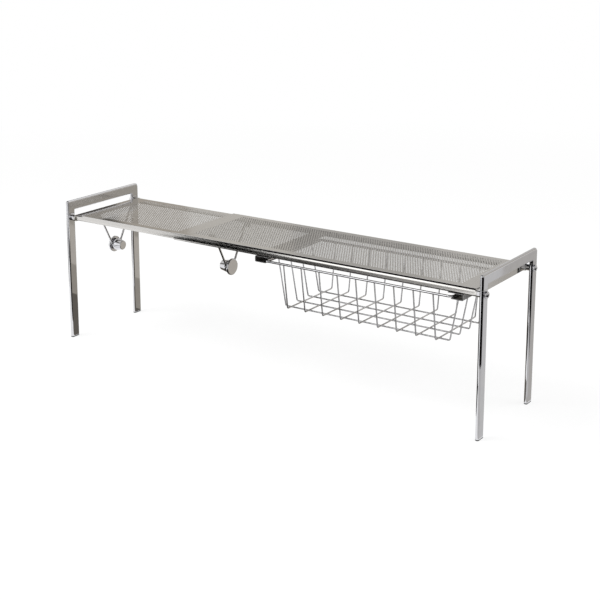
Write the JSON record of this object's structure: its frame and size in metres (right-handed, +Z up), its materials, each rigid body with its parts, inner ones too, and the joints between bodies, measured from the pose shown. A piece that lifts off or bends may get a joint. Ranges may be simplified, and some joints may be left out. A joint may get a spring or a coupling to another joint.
{
  "type": "kitchen shelf rack",
  "caption": "Free-standing extending kitchen rack: perforated steel shelf on two tube end frames, with a sliding wire basket and a swing-arm paper-roll holder underneath.",
  "frame": {"origin": "middle of the footprint, on the table surface, with the shelf opened to its working length", "axes": "+Z up; +X along the shelf towards the end frame on the basket's side; -Y towards the user"},
  "size_m": [0.859, 0.194, 0.262],
  "materials": {
    "chrome": "polished chrome plate",
    "wire": "chrome-plated wire",
    "stainless": "satin stainless sheet",
    "plain_steel": "zinc-plated steel",
    "foot_plastic": "dark moulded plastic"
  },
  "bodies": {
    "outer_half": {"right_frame": "chrome", "right_front_leg": "chrome", "right_rear_leg": "chrome", "right_front_tongue": "plain_steel", "right_rear_tongue": "plain_steel", "right_front_foot": "foot_plastic", "right_rear_foot": "foot_plastic", "right_front_cap_bolt": "chrome", "right_rear_cap_bolt": "chrome", "right_front_spacer": "chrome", "right_rear_spacer": "chrome", "right_end_plate": "stainless", "outer_sheet": "stainless", "right_drawer_rail": "plain_steel", "left_drawer_rail": "plain_steel"},
    "inner_half": {"left_frame": "chrome", "left_front_leg": "chrome", "left_rear_leg": "chrome", "left_front_tongue": "plain_steel", "left_rear_tongue": "plain_steel", "left_front_foot": "foot_plastic", "left_rear_foot": "foot_plastic", "left_front_cap_bolt": "chrome", "left_rear_cap_bolt": "chrome", "left_front_spacer": "chrome", "left_rear_spacer": "chrome", "left_end_plate": "stainless", "inner_sheet": "stainless", "left_front_arm_clip": "plain_steel", "left_rear_arm_clip": "plain_steel", "right_front_arm_clip": "plain_steel", "right_rear_arm_clip": "plain_steel"},
    "basket": {"basket_rim": "wire", "basket_cross_wire_1": "wire", "basket_cross_wire_2": "wire", "basket_cross_wire_3": "wire", "basket_cross_wire_4": "wire", "basket_cross_wire_5": "wire", "basket_cross_wire_6": "wire", "basket_cross_wire_7": "wire", "basket_cross_wire_8": "wire", "basket_cross_wire_9": "wire", "basket_long_wire_1": "wire", "basket_long_wire_2": "wire", "basket_long_wire_3": "wire", "basket_long_wire_4": "wire"},
    "left_arm": {"left_roll_arm": "wire"},
    "right_arm": {"right_roll_arm": "wire"},
    "left_cap": {"left_roll_cap": "chrome"},
    "right_cap": {"right_roll_cap": "chrome"}
  },
  "joints": [
    {"name": "shelf_extension", "type": "slide", "parent": "outer_half", "child": "inner_half", "axis": [1, 0, 0], "range_m": [-0.1, 0.09]},
    {"name": "basket_drawer", "type": "slide", "parent": "outer_half", "child": "basket", "axis": [0, -1, 0], "range_m": [0, 0.14]},
    {"name": "left_arm_swing", "type": "hinge", "parent": "inner_half", "child": "left_arm", "pos_m": [-0.391, 0, 0.2308], "axis": [0, 1, 0], "range_deg": [-10, 25]},
    {"name": "right_arm_swing", "type": "hinge", "parent": "inner_half", "child": "right_arm", "pos_m": [-0.1195, 0, 0.2308], "axis": [0, -1, 0], "range_deg": [-10, 25]},
    {"name": "left_cap_spin", "type": "hinge", "parent": "left_arm", "child": "left_cap", "pos_m": [-0.391, 0, 0.1645], "axis": [1, 0, 0], "continuous": true},
    {"name": "right_cap_spin", "type": "hinge", "parent": "right_arm", "child": "right_cap", "pos_m": [-0.1195, 0, 0.1645], "axis": [1, 0, 0], "continuous": true}
  ]
}
